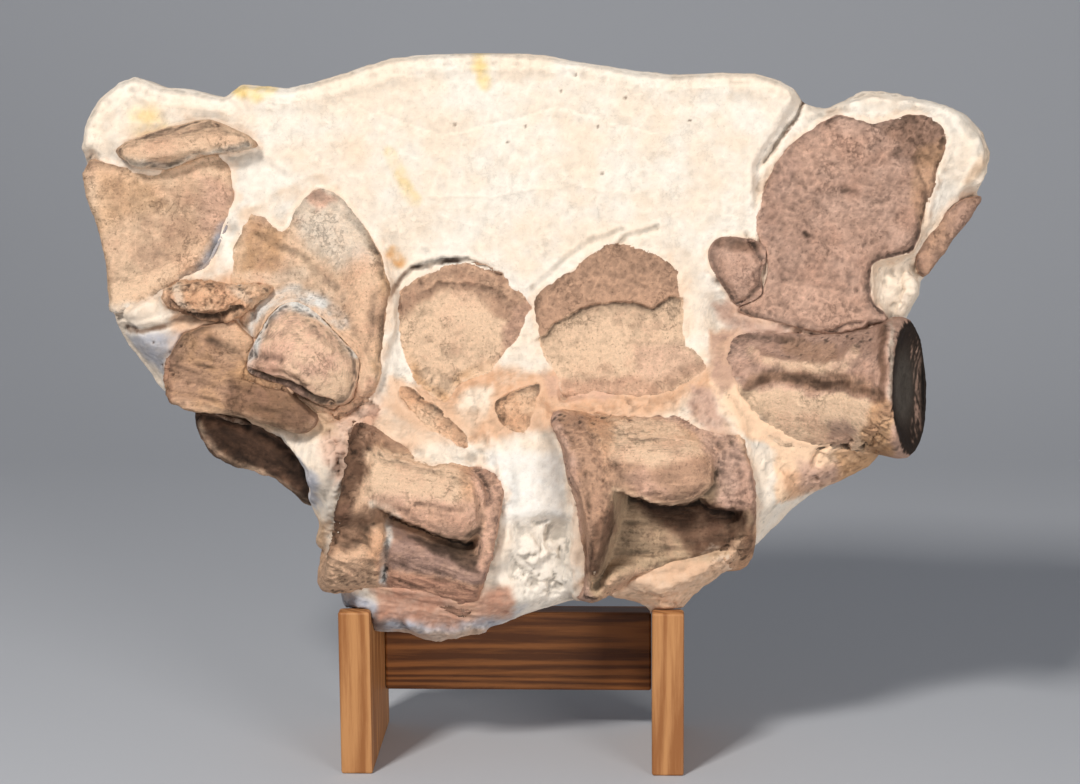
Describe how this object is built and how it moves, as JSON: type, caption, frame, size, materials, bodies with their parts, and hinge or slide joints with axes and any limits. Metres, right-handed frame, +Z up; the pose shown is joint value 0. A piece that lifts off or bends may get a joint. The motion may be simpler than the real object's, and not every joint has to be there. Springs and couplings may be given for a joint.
{
  "type": "fossil vertebrae block on stand",
  "caption": "Fossil block with joined pliosaur vertebrae in pale limestone, leaning on an H-shaped wooden stand.",
  "frame": {"origin": "middle of the bounding box on the floor under the stand", "axes": "+X to the picture's right along the row of vertebrae, +Y to the back, +Z up"},
  "size_m": [0.569, 0.1408, 0.4475],
  "materials": {
    "limestone": "matt cream limestone, chalky, with fine pits and ochre stains",
    "tan_bone": "matt tan fossil bone with darker brown rims and fine striations",
    "brown_bone": "matt pinkish brown fossil bone",
    "stand_wood": "satin varnished reddish pine"
  },
  "bodies": {
    "root": {"matrix": "limestone", "rib_fragment": "tan_bone", "v1_neural_spine": "tan_bone", "v1_neural_arch": "tan_bone", "v1_fragment": "tan_bone", "v1_transverse_process": "tan_bone", "v1_centrum": "tan_bone", "v2_neural_spine": "tan_bone", "v2_arch_strip": "tan_bone", "v2_centrum": "tan_bone", "v2_v3_zygapophysis": "tan_bone", "v3_neural_spine": "tan_bone", "v3_centrum": "tan_bone", "v1_centrum_underside": "brown_bone", "v4_neural_spine": "brown_bone", "v4_zygapophysis": "brown_bone", "v4_centrum": "brown_bone", "edge_bone": "brown_bone", "stand_left_board": "stand_wood", "stand_right_board": "stand_wood", "stand_rail": "stand_wood"}
  },
  "joints": []
}
